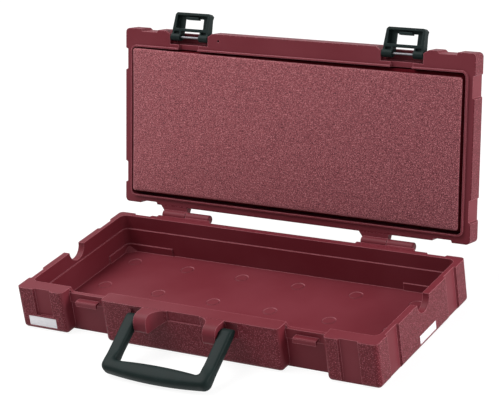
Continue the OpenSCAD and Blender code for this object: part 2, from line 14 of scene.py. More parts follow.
import bmesh
import bpy
from mathutils import Matrix, Vector


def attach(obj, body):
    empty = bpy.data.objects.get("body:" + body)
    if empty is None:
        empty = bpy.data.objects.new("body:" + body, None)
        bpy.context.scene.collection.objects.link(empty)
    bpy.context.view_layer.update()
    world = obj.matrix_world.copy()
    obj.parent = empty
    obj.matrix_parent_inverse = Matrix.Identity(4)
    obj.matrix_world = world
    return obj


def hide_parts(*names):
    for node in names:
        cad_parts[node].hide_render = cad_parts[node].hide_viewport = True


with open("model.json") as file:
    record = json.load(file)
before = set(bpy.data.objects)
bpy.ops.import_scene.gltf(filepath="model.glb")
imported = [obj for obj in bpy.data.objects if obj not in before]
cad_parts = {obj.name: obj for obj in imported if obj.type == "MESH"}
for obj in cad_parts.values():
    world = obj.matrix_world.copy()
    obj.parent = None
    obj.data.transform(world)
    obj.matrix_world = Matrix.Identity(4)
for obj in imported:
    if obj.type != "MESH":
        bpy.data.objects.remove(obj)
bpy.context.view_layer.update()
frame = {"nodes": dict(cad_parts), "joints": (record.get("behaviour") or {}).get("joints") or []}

LOG = logging.getLogger("tool_case")
MM = 0.001

# Half the length and half the depth of the case, wall to wall.
HALF_LENGTH = 200 * MM
HALF_DEPTH = 91.5 * MM

# A colour Mix node's sockets share their names with its other sockets, so they go by number.
MIX_SHARE = 0
MIX_FIRST = 6
MIX_SECOND = 7
MIX_RESULT = 2

Colour = tuple[float, float, float]
Band = tuple[float, float]
Number = "float | Value"


class Side(Enum):
    """The two ends of the case, seen from the front."""

    LEFT = -1
    RIGHT = 1

    @property
    def label(self) -> str:
        """Lower-case word used in piece names."""
        return self.name.lower()


class Body(Enum):
    """Rigid bodies of the case that the new pieces ride on."""

    TRAY = "tray"
    LID = "lid"
    HANDLE = "carry_handle"


class Slot(Enum):
    """Names of the record's material slots for the new pieces; the script does not use them."""

    FOAM = "foam"
    DARK = "dark_plastic"
    LABEL = "label"


def srgb(red: int, green: int, blue: int) -> Colour:
    """Linear colour of an 8-bit screen colour.

    Args:
        red: Red, 0 to 255.
        green: Green, 0 to 255.
        blue: Blue, 0 to 255.

    Returns:
        The same colour as linear red, green and blue.
    """

    def linear(level: int) -> float:
        """One channel, screen to linear."""
        share = level / 255
        return share / 12.92 if share <= 0.04045 else ((share + 0.055) / 1.055) ** 2.4

    return (linear(red), linear(green), linear(blue))


def eased(share: float) -> float:
    """A share from 0 to 1 with a soft start and a soft end."""
    return share * share * (3 - 2 * share)


def flat(x: float, y: float) -> Vector:
    """A point at height 0."""
    return Vector((x, y, 0))


class Value:
    """A number socket that can be used in arithmetic; each operator adds a Math node."""

    def __init__(self, graph: "Tree", socket: bpy.types.NodeSocket) -> None:
        """Wraps an output socket.

        Args:
            graph: The node tree that the socket belongs to.
            socket: The output socket.
        """
        self.graph = graph
        self.socket = socket

    def _math(self, operation: str, first: Number, second: Number) -> "Value":
        """Adds one Math node.

        Args:
            operation: The node's operation.
            first: Its first operand.
            second: Its second operand.

        Returns:
            The node's result.
        """
        node = self.graph.node("ShaderNodeMath", {0: first, 1: second}, operation=operation)
        return Value(self.graph, node.outputs[0])

    def __add__(self, other: Number) -> "Value":
        """Sum."""
        return self._math("ADD", self, other)

    __radd__ = __add__

    def __sub__(self, other: Number) -> "Value":
        """Difference."""
        return self._math("SUBTRACT", self, other)

    def __rsub__(self, other: Number) -> "Value":
        """Difference, with the number first."""
        return self._math("SUBTRACT", other, self)

    def __mul__(self, other: Number) -> "Value":
        """Product."""
        return self._math("MULTIPLY", self, other)

    __rmul__ = __mul__

    def greatest(self, other: Number) -> "Value":
        """The larger of the two."""
        return self._math("MAXIMUM", self, other)

    def least(self, other: Number) -> "Value":
        """The smaller of the two."""
        return self._math("MINIMUM", self, other)

    def wrapped(self, period: float) -> "Value":
        """Folds the value into one period about zero.

        Args:
            period: Length of the period.

        Returns:
            The folded value.
        """
        limits = {0: self, 1: period / 2, 2: -period / 2}
        return Value(self.graph, self.graph.node("ShaderNodeMath", limits, operation="WRAP").outputs[0])

    def ramp(self, low: float, high: float, start: float = 0.0, end: float = 1.0) -> "Value":
        """Smooth step between two levels.

        Args:
            low: Level at which the result is start.
            high: Level at which the result is end.
            start: Result at and below low.
            end: Result at and above high.

        Returns:
            The stepped value.
        """
        node = self.graph.node(
            "ShaderNodeMapRange",
            {"Value": self, "From Min": low, "From Max": high, "To Min": start, "To Max": end},
            interpolation_type="SMOOTHSTEP",
        )
        return Value(self.graph, node.outputs["Result"])


class Tree:
    """A node tree under its output node."""

    def __init__(self, tree: bpy.types.NodeTree, output: str) -> None:
        """Empties the tree and gives it its output.

        Args:
            tree: The tree to build in.
            output: Type of its output node.
        """
        self.tree = tree
        self.tree.nodes.clear()
        self.output = self.node(output)

    def node(
        self, kind: str, inputs: dict[int | str, object] | None = None, **settings: object
    ) -> bpy.types.Node:
        """Makes any node.

        Args:
            kind: The node's type.
            inputs: What each input socket holds: a number, a colour, a vector, a socket or a Value.
            **settings: The node's own settings, which are set before its sockets.

        Returns:
            The new node.
        """
        made = self.tree.nodes.new(kind)
        for key, setting in settings.items():
            setattr(made, key, setting)
        for key, given in (inputs or {}).items():
            self.feed(made.inputs[key], given)
        return made

    def feed(self, socket: bpy.types.NodeSocket, given: object) -> None:
        """Sets or links one input socket.

        Args:
            socket: The input socket.
            given: A Value, a socket, a number, a colour or a vector.
        """
        if isinstance(given, Value):
            self.tree.links.new(given.socket, socket)
        elif isinstance(given, bpy.types.NodeSocket):
            self.tree.links.new(given, socket)
        elif socket.type == "RGBA" and len(given) == 3:
            socket.default_value = (*given, 1)
        else:
            socket.default_value = given

    def seen(self) -> Value:
        """Tells which rays show the background.

        Returns:
            1 on rays from the camera, from a gloss and through glass, 0 on those that light.
        """
        path = self.node("ShaderNodeLightPath")
        seen = Value(self, path.outputs["Is Camera Ray"])
        for ray in ("Is Glossy Ray", "Is Transmission Ray"):
            seen = seen.greatest(Value(self, path.outputs[ray]))
        return seen

    def close(self, shader: bpy.types.Node) -> None:
        """Links a shader to the output."""
        self.tree.links.new(shader.outputs[0], self.output.inputs["Surface"])


class Graph(Tree):
    """The node tree of one material, with its principled shader."""

    edge_band: Band = (0.02, 0.14)
    bevel_samples: int = 6

    def __init__(self, name: str) -> None:
        """Makes the material and its output.

        Args:
            name: The material's name.
        """
        self.material = bpy.data.materials.new(name)
        self.material.use_nodes = True
        super().__init__(self.material.node_tree, "ShaderNodeOutputMaterial")
        self.place = self.node("ShaderNodeTexCoord").outputs["Object"]

    def vector(self, operation: str, *operands: object) -> bpy.types.NodeSocket:
        """Adds one Vector Math node.

        Args:
            operation: The node's operation.
            *operands: Its operands, in order.

        Returns:
            The vector it gives.
        """
        made = self.node("ShaderNodeVectorMath", dict(enumerate(operands)), operation=operation)
        return made.outputs["Vector"]

    def length(self, vector: bpy.types.NodeSocket) -> Value:
        """Length of a vector."""
        made = self.node("ShaderNodeVectorMath", {0: vector}, operation="LENGTH")
        return Value(self, made.outputs["Value"])

    def parts(self, vector: bpy.types.NodeSocket) -> tuple[Value, Value, Value]:
        """The three components of a vector."""
        made = self.node("ShaderNodeSeparateXYZ", {0: vector})
        return tuple(Value(self, output) for output in made.outputs)

    def noise(self, size: float, detail: float = 2.0, where: object = None) -> Value:
        """Soft noise with a given grain size.

        Args:
            size: Size of the grains, in metres.
            detail: How much finer structure it has.
            where: Vector to sample at, or nothing for the object's own place.

        Returns:
            The noise, about 0.5 on average.
        """
        made = self.node(
            "ShaderNodeTexNoise",
            {"Vector": where or self.place, "Scale": 1 / size, "Detail": detail},
        )
        return Value(self, made.outputs["Fac"])

    def cells(self, size: float) -> Value:
        """Distance to the nearest of scattered points, in cells of a given size."""
        made = self.node("ShaderNodeTexVoronoi", {"Vector": self.place, "Scale": 1 / size})
        return Value(self, made.outputs["Distance"])

    def blend(self, share: Number, first: object, second: object) -> bpy.types.NodeSocket:
        """Mixes two colours.

        Args:
            share: Share of the second colour, 0 to 1.
            first: The first colour.
            second: The second colour.

        Returns:
            The mixed colour.
        """
        made = self.node(
            "ShaderNodeMix",
            {MIX_SHARE: share, MIX_FIRST: first, MIX_SECOND: second},
            data_type="RGBA",
            clamp_factor=True,
        )
        return made.outputs[MIX_RESULT]

    def rounded(self, radius: float) -> bpy.types.NodeSocket:
        """The normal, turned over sharp edges as if they had a small radius."""
        made = self.node("ShaderNodeBevel", {"Radius": radius}, samples=self.bevel_samples)
        return made.outputs["Normal"]

    def edges(self, rounded: bpy.types.NodeSocket) -> Value:
        """Finds the edges, where the rounded normal leaves the plain one.

        Args:
            rounded: The rounded normal.

        Returns:
            1 on edges, 0 on open faces.
        """
        plain = self.node("ShaderNodeNewGeometry").outputs["Normal"]
        made = self.node("ShaderNodeVectorMath", {0: rounded, 1: plain}, operation="DOT_PRODUCT")
        return (1 - Value(self, made.outputs["Value"])).ramp(*self.edge_band)

    def bump(
        self, height: Value, depth: float, under: bpy.types.NodeSocket | None = None
    ) -> bpy.types.NodeSocket:
        """Turns a height into a normal.

        Args:
            height: The height, 0 to 1.
            depth: Depth that a height of 1 stands for, in metres.
            under: The normal that it bends, or nothing for the surface's own.

        Returns:
            The bent normal.
        """
        given = {"Height": height, "Distance": depth}
        if under:
            given["Normal"] = under
        return self.node("ShaderNodeBump", given).outputs["Normal"]

    def finish(self, **sockets: object) -> bpy.types.Material:
        """Adds the principled shader and closes the material.

        Args:
            **sockets: Its sockets, with underscores for spaces.

        Returns:
            The finished material.
        """
        named = {key.replace("_", " "): given for key, given in sockets.items()}
        self.close(self.node("ShaderNodeBsdfPrincipled", named))
        return self.material


@dataclass(frozen=True)
class Swing:
    """How the open lid was swung from its closed place, about the hinge pins."""

    y: float
    z: float
    angle: float

    @property
    def to_open(self) -> Matrix:
        """Carries a closed place to the open one.

        Returns:
            The move, as a matrix.
        """
        centre = Vector((0, self.y, self.z))
        turn = Matrix.Rotation(-math.radians(self.angle), 4, "X")
        return Matrix.Translation(centre) @ turn @ Matrix.Translation(-centre)

    @property
    def to_closed(self) -> Matrix:
        """Carries an open place back to the closed one."""
        return self.to_open.inverted()


@dataclass(frozen=True)
class Block:
    """A round-edged block, lowest and highest corner, that a grained skin lies on."""

    low: Vector
    high: Vector
    swing: Swing | None = None
    edge: float = 4.5 * MM

    def depth(self, graph: Graph) -> Value:
        """Signed distance from the block's surface, negative inside it.

        Args:
            graph: The graph to build in.

        Returns:
            The distance, in metres.
        """
        place = graph.place
        if self.swing:
            place = graph.node(
                "ShaderNodeVectorRotate",
                {
                    "Vector": place,
                    "Center": (0, self.swing.y, self.swing.z),
                    "Angle": math.radians(self.swing.angle),
                },
                rotation_type="X_AXIS",
            ).outputs["Vector"]
        half = (self.high - self.low) / 2 - Vector((self.edge,) * 3)
        offset = graph.vector("SUBTRACT", place, tuple((self.high + self.low) / 2))
        out = graph.vector("SUBTRACT", graph.vector("ABSOLUTE", offset), tuple(half))
        beyond = graph.length(graph.vector("MAXIMUM", out, (0, 0, 0)))
        x, y, z = graph.parts(out)
        return beyond + x.greatest(y).greatest(z).least(0.0) - self.edge


def case_block(bottom: float, top: float, swing: Swing | None = None) -> Block:
    """The block between the case's walls from one height to another, as they are when it is shut."""
    low = Vector((-HALF_LENGTH, -HALF_DEPTH, bottom))
    return Block(low, Vector((HALF_LENGTH, HALF_DEPTH, top)), swing)


@dataclass(frozen=True)
class RingMarks:
    """Rows of faint discs in the floor, each raised at its far side, where skins are pinched.

    A band gives two distances from the rim of a disc, outwards, between which a form starts or ends.
    """

    centre: tuple[float, float] = (-4 * MM, 5 * MM)
    pitch: tuple[float, float] = (65.5 * MM, 55 * MM)
    radius: float = 6.6 * MM
    floor: float = 4.5 * MM
    above_floor: Band = (0.2 * MM, 0.5 * MM)
    lean: float = -0.35
    far_side: Band = (-0.3, 0.8)
    disc_end: Band = (-2.2 * MM, 0.4 * MM)
    # The line bands place the painted highlight on the far rims; the shade band ends the painted shade
    # of the near halves.
    line_start: Band = (-1.0 * MM, -0.2 * MM)
    line_end: Band = (0.0, 0.7 * MM)
    shade_end: Band = (1.2 * MM, 2.0 * MM)

    def shape(self, graph: Graph) -> tuple[Value, Value, Value]:
        """How the discs stand out, each part 0 to 1.

        Args:
            graph: The graph to build in.

        Returns:
            Their height, a painted highlight on the far rims, painted shade on the near halves.
        """
        x, y, z = graph.parts(graph.place)
        across = (x - (self.centre[0] + self.pitch[0] / 2)).wrapped(self.pitch[0])
        along = (y - self.centre[1]).wrapped(self.pitch[1])
        level = graph.node("ShaderNodeCombineXYZ", {"X": across, "Y": along}).outputs["Vector"]
        reach = graph.length(level)

        def rim(band: Band, start: float, end: float) -> Value:
            """Steps from a level inside a band about the rim to another outside it."""
            return reach.ramp(self.radius + band[0], self.radius + band[1], start, end)

        near, beyond = (share * self.radius for share in self.far_side)
        far = (along + across * self.lean).ramp(near, beyond)
        low, high = (self.floor + rise for rise in self.above_floor)
        on_floor = z.ramp(low, high, 1.0, 0.0)
        disc = rim(self.disc_end, 1.0, 0.0) * on_floor
        line = rim(self.line_start, 0.0, 1.0) * rim(self.line_end, 1.0, 0.0) * on_floor
        whole = rim(self.shade_end, 1.0, 0.0) * on_floor
        return disc * far, line * far, whole * (1 - far)


@dataclass(frozen=True)
class CasePlastic:
    """Maroon moulded plastic: pebbled on the outer skin, satin in the recesses and inside.

    A band gives the two levels between which an effect sets in, and a share says how strong it gets.
    """

    colour: Colour = srgb(119, 46, 56)
    dark: Colour = srgb(102, 18, 31)
    # Painted shade in the grooves between the pebbles.
    pit: Colour = srgb(72, 6, 20)
    # Painted highlight: pale glints on the pebble tops.
    pale: Colour = srgb(234, 136, 156)
    # Painted highlight, laid along the edges where rounded edges would catch the light.
    worn: Colour = srgb(206, 126, 136)
    worn_share: float = 0.85
    pebble: float = 1.1 * MM
    pebble_depth: float = 0.25 * MM
    pebble_noise: float = 0.4
    skin_inside: Band = (-1.4 * MM, -1.0 * MM)
    skin_outside: Band = (0.3 * MM, 0.8 * MM)
    skin_dark: float = 0.85
    cloud: float = 90 * MM
    cloud_band: Band = (0.35, 0.7)
    cloud_share: float = 0.5
    speck_noise: float = 0.5
    speck_band: Band = (-0.08, 0.12)
    speck_share: float = 0.54
    pit_band: Band = (0.42, 0.74)
    pit_share: float = 0.4
    peel: float = 7 * MM
    peel_depth: float = 0.03 * MM
    swell: float = 60 * MM
    swell_depth: float = 0.35 * MM
    mark_height: float = 1.4
    mark_shade: float = 0.8
    mark_line: float = 0.25
    round: float = 0.9 * MM
    rough: float = 0.5
    rough_cloud: float = 0.1
    rough_skin: float = 0.06
    ior: float = 1.5
    gloss: float = 0.22

    def make(
        self, name: str, skin: Block, marks: RingMarks | None = None
    ) -> bpy.types.Material:
        """Makes the material for one moulding.

        Args:
            name: The material's name.
            skin: The block whose surface is pebbled.
            marks: Ring marks in its floor, if it has them.

        Returns:
            The material.
        """
        graph = Graph(name)
        depth = skin.depth(graph)
        pebbled = depth.ramp(*self.skin_inside) * depth.ramp(*self.skin_outside, 1.0, 0.0)
        cells = graph.cells(self.pebble)
        fine = graph.noise(self.pebble / 2)
        cloud = graph.noise(self.cloud, detail=3.0)
        rounded = graph.rounded(self.round)
        deep = cloud.ramp(*self.cloud_band, 0.0, self.cloud_share).greatest(pebbled * self.skin_dark)
        base = graph.blend(deep, self.colour, self.dark)
        # Painted highlight: pale glints where the pebbles stand highest.
        lump = fine * self.speck_noise - cells
        glint = lump.ramp(*self.speck_band, 0.0, self.speck_share) * pebbled
        base = graph.blend(glint, base, self.pale)
        # Painted shade in the grooves between the pebbles.
        pit = cells.ramp(*self.pit_band, 0.0, self.pit_share) * pebbled
        base = graph.blend(pit, base, self.pit)
        # Painted highlight along the edges.
        worn = graph.edges(rounded) * self.worn_share
        grain = (fine * self.pebble_noise - cells) * pebbled
        peel = graph.noise(self.peel, detail=1.0) * (self.peel_depth / self.pebble_depth)
        swell = graph.noise(self.swell, detail=1.0) * (self.swell_depth / self.pebble_depth)
        height = grain + peel + swell
        if marks:
            disc, line, near = marks.shape(graph)
            height = height + disc * self.mark_height
            # Painted shade takes the edge highlight off the near halves; a painted highlight lies on
            # the far rims.
            worn = worn * (1 - near * self.mark_shade) + line * self.mark_line
        return graph.finish(
            Base_Color=graph.blend(worn, base, self.worn),
            Roughness=cloud * self.rough_cloud + self.rough - pebbled * self.rough_skin,
            Normal=graph.bump(height, self.pebble_depth, rounded),
            IOR=self.ior,
            Specular_IOR_Level=self.gloss,
        )


@dataclass(frozen=True)
class FoamSkin:
    """Red open-cell foam, with painted shade in its pores and towards one lower corner."""

    colour: Colour = srgb(159, 73, 82)
    # Painted shade towards one lower corner.
    shaded: Colour = srgb(129, 52, 65)
    # Painted shade in the pores and painted highlight on the grain and the edges.
    pore: Colour = srgb(70, 14, 28)
    lit: Colour = srgb(226, 146, 152)
    cell: float = 0.68 * MM
    fineness: float = 2.5
    pore_band: Band = (0.37, 0.49)
    lit_band: Band = (0.53, 0.64)
    lit_share: float = 0.95
    edge_share: float = 0.8
    relief: tuple[float, float, float] = (0.7, 0.4, 0.3)
    depth: float = 0.5 * MM
    round: float = 2.4 * MM
    cloud: float = 120 * MM
    cloud_reach: float = 0.1
    lean: float = 1.2
    fade: float = 300 * MM
    rough: float = 0.95
    sheen: float = 0.15
    sheen_rough: float = 0.6
    gloss: float = 0.5

    def make(self, name: str) -> bpy.types.Material:
        """Makes the foam material.

        Args:
            name: The material's name.

        Returns:
            The material.
        """
        graph = Graph(name)
        grit = graph.noise(self.cell, detail=3.0)
        fine = graph.noise(self.cell / self.fineness)
        cells = graph.cells(self.cell)
        cloud = graph.noise(self.cloud) * self.cloud_reach
        x, y, z = graph.parts(graph.place)
        # Painted shade: darker towards the lower right.
        painted_falloff = (x - z * self.lean + cloud).ramp(-self.fade, self.fade)
        base = graph.blend(painted_falloff, self.colour, self.shaded)
        # Painted shade in the low pores and painted highlight on the high grain.
        base = graph.blend(grit.ramp(*self.pore_band, 1.0, 0.0), base, self.pore)
        base = graph.blend(grit.ramp(*self.lit_band, 0.0, self.lit_share), base, self.lit)
        rounded = graph.rounded(self.round)
        # Painted highlight along the pad's rounded edges.
        base = graph.blend(graph.edges(rounded) * self.edge_share, base, self.lit)
        grit_relief, fine_relief, cell_relief = self.relief
        height = grit * grit_relief + fine * fine_relief - cells * cell_relief
        return graph.finish(
            Base_Color=base,
            Roughness=self.rough,
            Normal=graph.bump(height, self.depth, rounded),
            Sheen_Weight=self.sheen,
            Sheen_Roughness=self.sheen_rough,
            Specular_IOR_Level=self.gloss,
        )


@dataclass(frozen=True)
class DarkPlastic:
    """Green-black satin plastic of the handle and the latches."""

    colour: Colour = srgb(21, 33, 32)
    # A lighter worn tone, laid in random clouds.
    worn: Colour = srgb(30, 43, 42)
    # Painted highlight laid along the edges.
    edge: Colour = srgb(96, 114, 111)
    cloud: float = 14 * MM
    cloud_band: Band = (0.4, 0.75)
    cloud_share: float = 0.6
    edge_share: float = 0.3
    grain: float = 0.8 * MM
    grain_depth: float = 0.07 * MM
    round: float = 0.7 * MM
    rough: float = 0.42
    rough_cloud: float = 0.12
    ior: float = 1.45
    gloss: float = 0.12

    def make(self, name: str) -> bpy.types.Material:
        """Makes the dark plastic material.

        Args:
            name: The material's name.

        Returns:
            The material.
        """
        graph = Graph(name)
        cloud = graph.noise(self.cloud, detail=3.0)
        fine = graph.noise(self.grain, detail=3.0)
        rounded = graph.rounded(self.round)
        mottle = cloud.ramp(*self.cloud_band, 0.0, self.cloud_share)
        base = graph.blend(mottle, self.colour, self.worn)
        # Painted highlight along the edges.
        base = graph.blend(graph.edges(rounded) * self.edge_share, base, self.edge)
        return graph.finish(
            Base_Color=base,
            Roughness=cloud * self.rough_cloud + self.rough,
            Normal=graph.bump(fine, self.grain_depth, rounded),
            IOR=self.ior,
            Specular_IOR_Level=self.gloss,
        )


@dataclass(frozen=True)
class PinSteel:
    """Bright drawn steel of the pins, with fine lines round them."""

    colour: Colour = srgb(128, 126, 130)
    dull: Colour = srgb(84, 84, 88)
    line: float = 0.25 * MM
    line_depth: float = 0.02 * MM
    line_band: Band = (0.3, 0.7)
    stretch: tuple[float, float, float] = (1.0, 0.05, 0.05)
    rough: float = 0.3
    rough_line: float = 0.15

    def make(self, name: str) -> bpy.types.Material:
        """Makes the steel material.

        Args:
            name: The material's name.

        Returns:
            The material.
        """
        graph = Graph(name)
        along = graph.vector("MULTIPLY", graph.place, self.stretch)
        lines = graph.noise(self.line, where=along)
        return graph.finish(
            Base_Color=graph.blend(lines.ramp(*self.line_band), self.dull, self.colour),
            Metallic=1.0,
            Roughness=lines * self.rough_line + self.rough,
            Normal=graph.bump(lines, self.line_depth),
        )


@dataclass(frozen=True)
class LabelStock:
    """Blank white plate, satin, with a faint mottle."""

    colour: Colour = srgb(252, 250, 254)
    shade: Colour = srgb(242, 240, 247)
    cloud: float = 4 * MM
    cloud_band: Band = (0.4, 0.75)
    cloud_share: float = 0.6
    grain: float = 0.5 * MM
    grain_depth: float = 0.02 * MM
    rough: float = 0.3
    rough_cloud: float = 0.1

    def make(self, name: str) -> bpy.types.Material:
        """Makes the label material.

        Args:
            name: The material's name.

        Returns:
            The material.
        """
        graph = Graph(name)
        cloud = graph.noise(self.cloud, detail=3.0)
        fine = graph.noise(self.grain)
        mottle = cloud.ramp(*self.cloud_band, 0.0, self.cloud_share)
        return graph.finish(
            Base_Color=graph.blend(mottle, self.colour, self.shade),
            Roughness=cloud * self.rough_cloud + self.rough,
            Normal=graph.bump(fine, self.grain_depth),
        )


def wear(piece: bpy.types.Object, *materials: bpy.types.Material) -> None:
    """Gives a piece its materials and leaves its faces' choice among them as it is.

    Args:
        piece: The piece.
        *materials: Its materials, in the order that its faces count them.
    """
    if piece.data.materials:
        piece.data.materials.clear()
    for material in materials:
        piece.data.materials.append(material)


def dress(node: str, material: bpy.types.Material) -> None:
    """Gives one of the frame's nodes its material and logs it."""
    wear(frame["nodes"][node], material)
    LOG.info("%s dressed in %s", node, material.name)


def settle(piece: bpy.types.Object, body: Body, replaced: Sequence[str] = ()) -> None:
    """Lets a finished piece ride on its body and log itself.

    Args:
        piece: The piece, in place.
        body: The body it rides on.
        replaced: The frame's nodes that it stands for.
    """
    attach(piece, body.value)
    if replaced:
        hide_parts(*replaced)
    LOG.info("%s rides on %s, %d faces", piece.name, body.value, len(piece.data.polygons))


def piece_from(name: str, mesh: bmesh.types.BMesh, sharp: float = 40.0) -> bpy.types.Object:
    """Turns a finished bmesh into an object, smooth except at its sharp edges.

    Args:
        name: The piece's name.
        mesh: The geometry, which is freed.
        sharp: Angle above which an edge stays sharp.

    Returns:
        The new object.
    """
    bmesh.ops.recalc_face_normals(mesh, faces=mesh.faces)
    for face in mesh.faces:
        face.smooth = True
    limit = math.radians(sharp)
    for edge in mesh.edges:
        edge.smooth = not (len(edge.link_faces) == 2 and edge.calc_face_angle(0) > limit)
    data = bpy.data.meshes.new(name)
    mesh.to_mesh(data)
    mesh.free()
    made = bpy.data.objects.new(name, data)
    bpy.context.scene.collection.objects.link(made)
    return made


@dataclass
class Tray:
    """The lower half of the case, with its two blank labels.

    A label is given by its centre along its wall, its width and its height.
    """

    skin: CasePlastic = field(default_factory=CasePlastic)
    stock: LabelStock = field(default_factory=LabelStock)
    front_label: tuple[float, float, float] = (-174.5 * MM, 33.5 * MM, 10.5 * MM)
    side_label: tuple[float, float, float] = (5 * MM, 33.5 * MM, 9 * MM)
    label_foot: float = 4 * MM
    label_cut: float = 0.5 * MM
    label_thick: float = 0.35 * MM
    label_gap: float = 0.25 * MM
    label_round: float = 0.8 * MM
    label_steps: int = 5
    skin_top: float = 70 * MM

    def build(self) -> None:
        """Dresses the moulding, whose rim stays smooth, and lays the labels in their frames."""
        block = case_block(0.0, self.skin_top)
        dress("tray_shell", self.skin.make("tray_plastic", block, RingMarks()))
        stock = self.stock.make("label_stock")
        upright = Matrix.Rotation(math.radians(90), 4, "X")
        sideways = Matrix.Rotation(math.radians(90), 4, "Z")
        centre, width, height = self.front_label
        front = (centre, self.label_cut - HALF_DEPTH, self.label_foot + height / 2)
        place = Matrix.Translation(front) @ upright
        self._label("label_front", width, height, place, stock)
        centre, width, height = self.side_label
        side = (HALF_LENGTH - self.label_cut, centre, self.label_foot + height / 2)
        place = Matrix.Translation(side) @ sideways @ upright
        self._label("label_side", width, height, place, stock)

    def _label(
        self, name: str, width: float, height: float, place: Matrix, stock: bpy.types.Material
    ) -> None:
        """Lays one blank plate in its frame.

        Args:
            name: The piece's name.
            width: Width of the frame.
            height: Height of the frame.
            place: Where the plate lies, face along +Z of its own axes.
            stock: Its material.
        """
        wide = width - 2 * self.label_gap
        high = height - 2 * self.label_gap
        outline = rounded_outline(wide, high, self.label_round, self.label_steps)
        mesh = bmesh.new()
        edge = self.label_thick / 3
        rings = [(0.0, 0.0), (self.label_thick - edge, 0.0), (self.label_thick, edge)]
        loops = []
        for level, inset in rings:
            shrink = 1 - 2 * inset / height
            loops.append([mesh.verts.new((x * shrink, y * shrink, level)) for x, y in outline])
        close_loft(mesh, loops)
        mesh.transform(place)
        plate = piece_from(name, mesh)
        wear(plate, stock)
        settle(plate, Body.TRAY)


def rounded_outline(
    width: float, depth: float, radius: float, steps: int, sides: int = 1
) -> list[tuple[float, float]]:
    """Points round a rectangle with round corners.

    Args:
        width: Size along the first axis.
        depth: Size along the second axis.
        radius: Corner radius.
        steps: Steps in each corner.
        sides: Steps along each side.

    Returns:
        The points, anticlockwise, centred on the origin.
    """
    corners = []
    for corner in range(4):
        sx = 1 if corner in (0, 3) else -1
        sy = 1 if corner in (0, 1) else -1
        cx = sx * (width / 2 - radius)
        cy = sy * (depth / 2 - radius)
        turns = [(corner + step / steps) * math.pi / 2 for step in range(steps + 1)]
        corners.append([(cx + radius * math.cos(t), cy + radius * math.sin(t)) for t in turns])
    points = []
    for corner, following in zip(corners, corners[1:] + corners[:1]):
        points.extend(corner)
        (x0, y0), (x1, y1) = corner[-1], following[0]
        for step in range(1, sides):
            share = step / sides
            points.append((x0 + (x1 - x0) * share, y0 + (y1 - y0) * share))
    return points


def close_loft(mesh: bmesh.types.BMesh, loops: Sequence[Sequence[bmesh.types.BMVert]]) -> None:
    """Fills the strips between neighbouring closed loops of vertices, and both ends.

    Args:
        mesh: The mesh that holds them.
        loops: The loops, each with as many vertices.
    """
    for lower, upper in zip(loops, loops[1:]):
        count = len(lower)
        for i in range(count):
            j = (i + 1) % count
            mesh.faces.new((lower[i], lower[j], upper[j], upper[i]))
    mesh.faces.new(loops[-1])
    mesh.faces.new(list(reversed(loops[0])))


@dataclass
class Lid:
    """The upper half of the case, open on its hinge."""

    swing: Swing
    skin: CasePlastic = field(default_factory=CasePlastic)
    top: float = 64.5 * MM
    below: float = 20 * MM

    def build(self) -> None:
        """Dresses the moulding; its flange and its inside stay smooth."""
        block = case_block(self.below, self.top, self.swing)
        dress("lid_shell", self.skin.make("lid_plastic", block))


